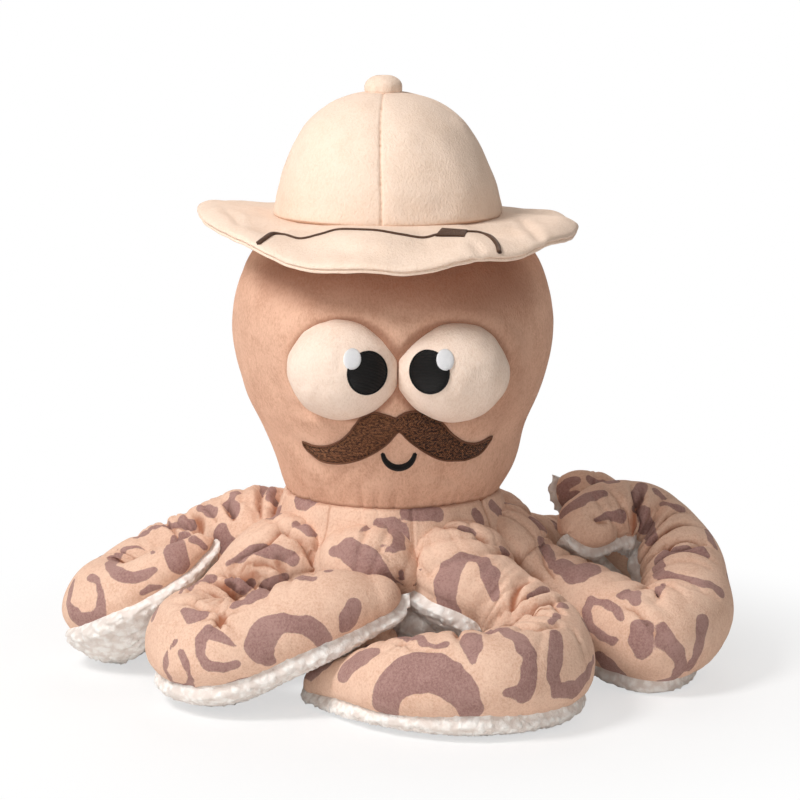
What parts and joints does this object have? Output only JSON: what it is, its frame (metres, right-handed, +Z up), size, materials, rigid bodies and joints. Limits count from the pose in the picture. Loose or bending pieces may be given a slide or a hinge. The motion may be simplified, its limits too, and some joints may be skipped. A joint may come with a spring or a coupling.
{
  "type": "plush octopus toy",
  "caption": "Stuffed plush octopus with curling printed arms, a moustache, round eyes and a brimmed safari hat.",
  "frame": {"origin": "middle of the footprint, on the ground plane", "axes": "+X to the right of someone facing the toy, +Y from its face to its back, +Z up"},
  "size_m": [0.3026, 0.2532, 0.265],
  "materials": {
    "tan_plush": "short pile plush",
    "printed_plush": "short pile plush with a printed rosette pattern",
    "sherpa": "curly sherpa fleece",
    "hat_plush": "short pile plush",
    "eye_plush": "short pile plush",
    "fibre_fill": "loose polyester fibre",
    "black_thread": "satin stitch embroidery",
    "white_thread": "satin stitch embroidery",
    "brown_thread": "satin stitch embroidery",
    "elastic": "woven elastic"
  },
  "bodies": {
    "body": {"head_skin": "tan_plush", "body_stuffing": "fibre_fill", "yoke": "printed_plush", "belly_cover": "sherpa", "eye_left": "eye_plush", "eye_right": "eye_plush", "pupil_left": "black_thread", "pupil_right": "black_thread", "highlight_left": "white_thread", "highlight_right": "white_thread", "moustache": "brown_thread", "smile": "black_thread", "hat_crown_front_left": "hat_plush", "hat_crown_front_right": "hat_plush", "hat_crown_back_left": "hat_plush", "hat_crown_back_right": "hat_plush", "hat_stuffing": "fibre_fill", "hat_button": "hat_plush", "hat_brim_top": "hat_plush", "hat_brim_underside": "hat_plush", "hat_strap_left": "brown_thread", "hat_strap_right": "brown_thread", "hat_buckle": "brown_thread"},
    "arm_front": {"arm_front_cover": "printed_plush", "arm_front_underside": "sherpa", "arm_front_stuffing": "fibre_fill", "arm_front_elastic": "elastic"},
    "arm_front_right": {"arm_front_right_cover": "printed_plush", "arm_front_right_underside": "sherpa", "arm_front_right_stuffing": "fibre_fill", "arm_front_right_elastic": "elastic"},
    "arm_right": {"arm_right_cover": "printed_plush", "arm_right_underside": "sherpa", "arm_right_stuffing": "fibre_fill", "arm_right_elastic": "elastic"},
    "arm_back_right": {"arm_back_right_cover": "printed_plush", "arm_back_right_underside": "sherpa", "arm_back_right_stuffing": "fibre_fill", "arm_back_right_elastic": "elastic"},
    "arm_back": {"arm_back_cover": "printed_plush", "arm_back_underside": "sherpa", "arm_back_stuffing": "fibre_fill", "arm_back_elastic": "elastic"},
    "arm_back_left": {"arm_back_left_cover": "printed_plush", "arm_back_left_underside": "sherpa", "arm_back_left_stuffing": "fibre_fill", "arm_back_left_elastic": "elastic"},
    "arm_left": {"arm_left_cover": "printed_plush", "arm_left_underside": "sherpa", "arm_left_stuffing": "fibre_fill", "arm_left_elastic": "elastic"},
    "arm_front_left": {"arm_front_left_cover": "printed_plush", "arm_front_left_underside": "sherpa", "arm_front_left_stuffing": "fibre_fill", "arm_front_left_elastic": "elastic"}
  },
  "joints": [
    {"name": "arm_front_bend", "type": "hinge", "parent": "body", "child": "arm_front", "pos_m": [-0.01305, -0.03866, 0.05], "axis": [-0.9799, 0.1994, 0], "range_deg": [-15, 0], "stiffness_Nm_per_rad": 0.06},
    {"name": "arm_front_right_bend", "type": "hinge", "parent": "body", "child": "arm_front_right", "pos_m": [0.02217, -0.03149, 0.05], "axis": [-0.8241, -0.5664, 0], "range_deg": [-15, 20], "stiffness_Nm_per_rad": 0.06},
    {"name": "arm_right_bend", "type": "hinge", "parent": "body", "child": "arm_right", "pos_m": [0.04142, -0.00157, 0.05], "axis": [-0.1736, -0.9848, 0], "range_deg": [-15, 25], "stiffness_Nm_per_rad": 0.06},
    {"name": "arm_back_right_bend", "type": "hinge", "parent": "body", "child": "arm_back_right", "pos_m": [0.0338, 0.03281, 0.05], "axis": [0.5736, -0.8191, 0], "range_deg": [-15, 25], "stiffness_Nm_per_rad": 0.06},
    {"name": "arm_back_bend", "type": "hinge", "parent": "body", "child": "arm_back", "pos_m": [0.00411, 0.05172, 0.05], "axis": [0.9848, -0.1736, 0], "range_deg": [-10, 25], "stiffness_Nm_per_rad": 0.06},
    {"name": "arm_back_left_bend", "type": "hinge", "parent": "body", "child": "arm_back_left", "pos_m": [-0.02961, 0.04456, 0.05], "axis": [0.829, 0.5592, 0], "range_deg": [-15, 25], "stiffness_Nm_per_rad": 0.06},
    {"name": "arm_left_bend", "type": "hinge", "parent": "body", "child": "arm_left", "pos_m": [-0.04904, 0.0152, 0.05], "axis": [0.1908, 0.9816, 0], "range_deg": [-15, 25], "stiffness_Nm_per_rad": 0.06},
    {"name": "arm_front_left_bend", "type": "hinge", "parent": "body", "child": "arm_front_left", "pos_m": [-0.04224, -0.01897, 0.05], "axis": [-0.5519, 0.8339, 0], "range_deg": [0, 25], "stiffness_Nm_per_rad": 0.06}
  ]
}
